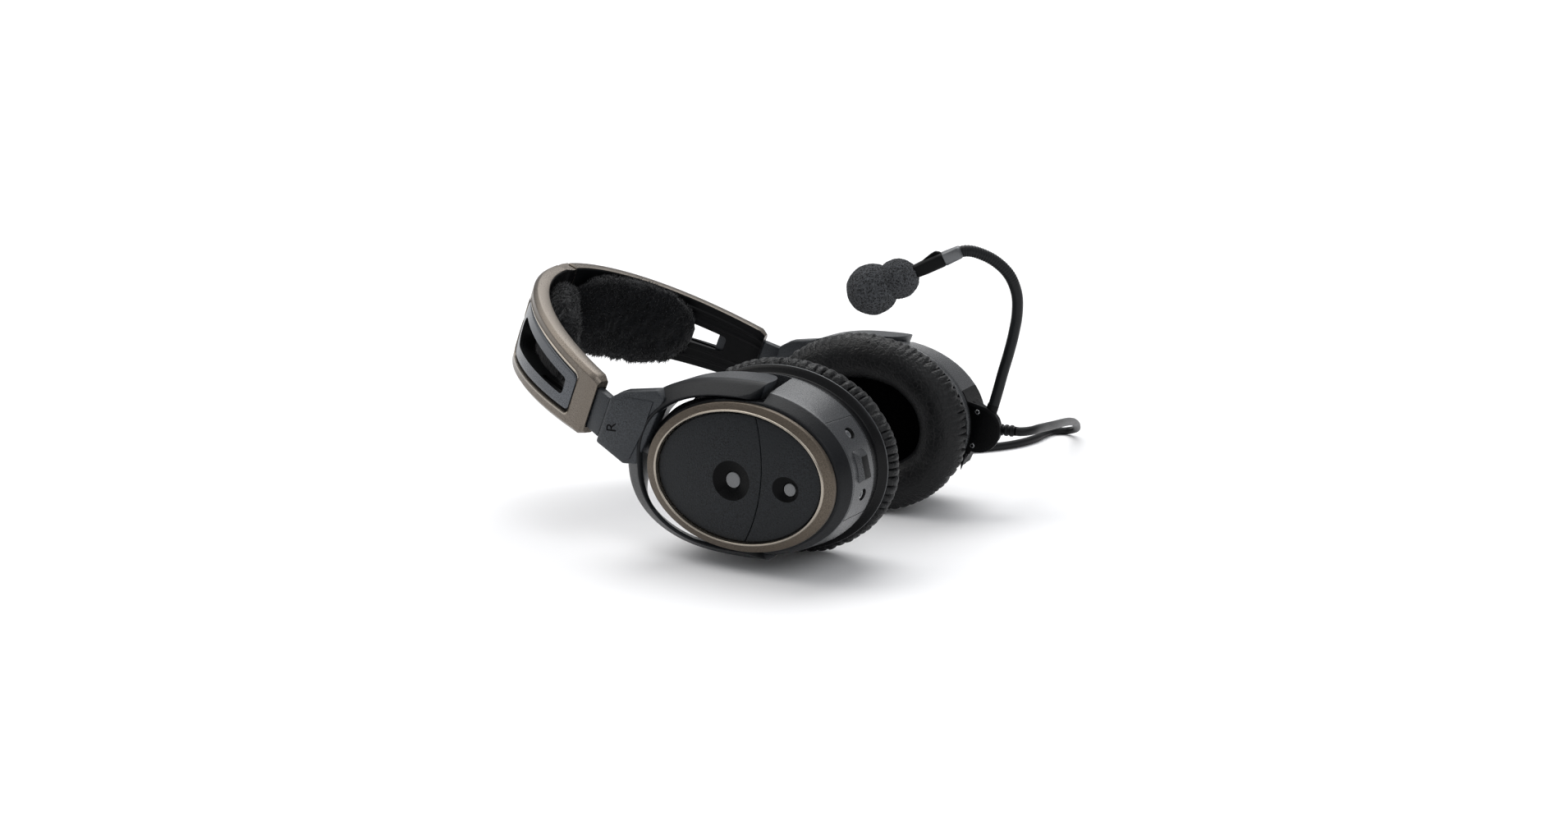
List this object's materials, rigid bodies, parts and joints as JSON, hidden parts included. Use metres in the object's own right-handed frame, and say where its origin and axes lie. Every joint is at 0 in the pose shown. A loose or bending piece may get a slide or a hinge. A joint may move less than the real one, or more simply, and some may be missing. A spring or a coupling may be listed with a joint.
{
  "type": "aviation headset",
  "caption": "Around-ear aviation headset lying on its back: oval cups on forked yokes, hinged sprung headband, boom microphone with foam windscreen, coiled cable with round plug.",
  "frame": {"origin": "centre of the headset's footprint without its cable, on the surface it lies on", "axes": "+X the wearer's down, from the crown to the cups; +Y to the wearer's left ear; +Z the wearer's front, up as it lies"},
  "size_m": [0.251, 0.341, 0.1362],
  "materials": {
    "bronze": "satin, warm grey-bronze metallic paint over moulded plastic",
    "graphite": "fine-grained matt",
    "plate": "fine grain",
    "insert": "satin, grey metallic paint over moulded plastic",
    "black": "matt",
    "screen": "woven",
    "steel": "satin",
    "board": "solder-masked",
    "foam": "open-cell foam",
    "leather": "soft, pleated",
    "fleece": "short pile",
    "rubber": "matt",
    "contact": "plated"
  },
  "bodies": {
    "left_cup": {"left_cup_shell": "graphite", "left_bezel_ring": "bronze", "left_plate_upper": "plate", "left_plate_lower": "plate", "left_port_screen_large": "screen", "left_port_screen_small": "screen", "left_cushion_flange": "black", "left_baffle": "black", "left_driver": "steel", "left_circuit_board": "board", "left_foam_scrim": "foam", "left_ear_cushion": "leather", "boom_cable_module": "black", "module_screw_1": "steel", "module_screw_2": "steel", "cable_strain_relief": "rubber", "cable_lead": "rubber", "cable_coil": "rubber", "coil_tie": "black", "cable_tail": "rubber", "plug_boot": "rubber", "plug_contact_insert": "contact"},
    "left_yoke": {"left_yoke": "graphite", "left_pivot_pin_front": "steel", "left_pivot_pin_rear": "steel", "left_height_slider": "graphite"},
    "left_band": {"left_band_frame": "bronze", "left_band_insert": "insert", "left_head_pad": "fleece", "crown_hinge_pin": "steel", "crown_torsion_spring": "steel"},
    "right_band": {"right_band_frame": "bronze", "right_band_insert": "insert", "right_head_pad": "fleece"},
    "right_yoke": {"right_yoke": "graphite", "right_pivot_pin_front": "steel", "right_pivot_pin_rear": "steel", "right_height_slider": "graphite"},
    "right_cup": {"right_cup_shell": "graphite", "right_bezel_ring": "bronze", "right_plate_upper": "plate", "right_plate_lower": "plate", "right_port_screen_large": "screen", "right_port_screen_small": "screen", "right_cushion_flange": "black", "right_baffle": "black", "right_driver": "steel", "right_circuit_board": "board", "right_foam_scrim": "foam", "right_ear_cushion": "leather", "right_bottom_cover": "graphite", "cover_screw_1": "steel", "cover_screw_2": "steel"},
    "boom": {"boom_hub": "black", "boom_gooseneck": "rubber", "mic_collar": "steel", "mic_body": "black", "mic_capsule": "steel", "mic_windscreen": "foam"},
    "plug_sleeve": {"plug_sleeve": "steel"}
  },
  "joints": [
    {"name": "left_cup_tilt", "type": "hinge", "parent": "left_cup", "child": "left_yoke", "pos_m": [0.04655, 0.0633, 0.0438], "axis": [0, 0, 1], "range_deg": [-8, 8]},
    {"name": "left_height_slide", "type": "slide", "parent": "left_yoke", "child": "left_band", "axis": [-0.8836, -0.3031, 0.357], "range_m": [-0.006, 0.022]},
    {"name": "crown_hinge", "type": "hinge", "parent": "left_band", "child": "right_band", "pos_m": [-0.11285, 0, 0.09714], "axis": [-0.3746, 0, -0.9272], "range_deg": [0, 40], "stiffness_Nm_per_rad": 0.65, "springref_deg": -14.9},
    {"name": "right_height_slide", "type": "slide", "parent": "right_band", "child": "right_yoke", "axis": [0.8836, -0.3031, -0.357], "range_m": [-0.006, 0.022]},
    {"name": "right_cup_tilt", "type": "hinge", "parent": "right_yoke", "child": "right_cup", "pos_m": [0.04655, -0.0633, 0.0438], "axis": [0, 0, 1], "range_deg": [-8, 8]},
    {"name": "boom_swivel", "type": "hinge", "parent": "left_cup", "child": "boom", "pos_m": [0.10405, 0.06035, 0.0418], "axis": [0, 1, 0], "range_deg": [-15, 70]},
    {"name": "plug_sleeve_slide", "type": "slide", "parent": "left_cup", "child": "plug_sleeve", "axis": [0, 1, 0], "range_m": [0, 0.0015], "stiffness_N_per_m": 1500, "springref_m": -0.001}
  ]
}
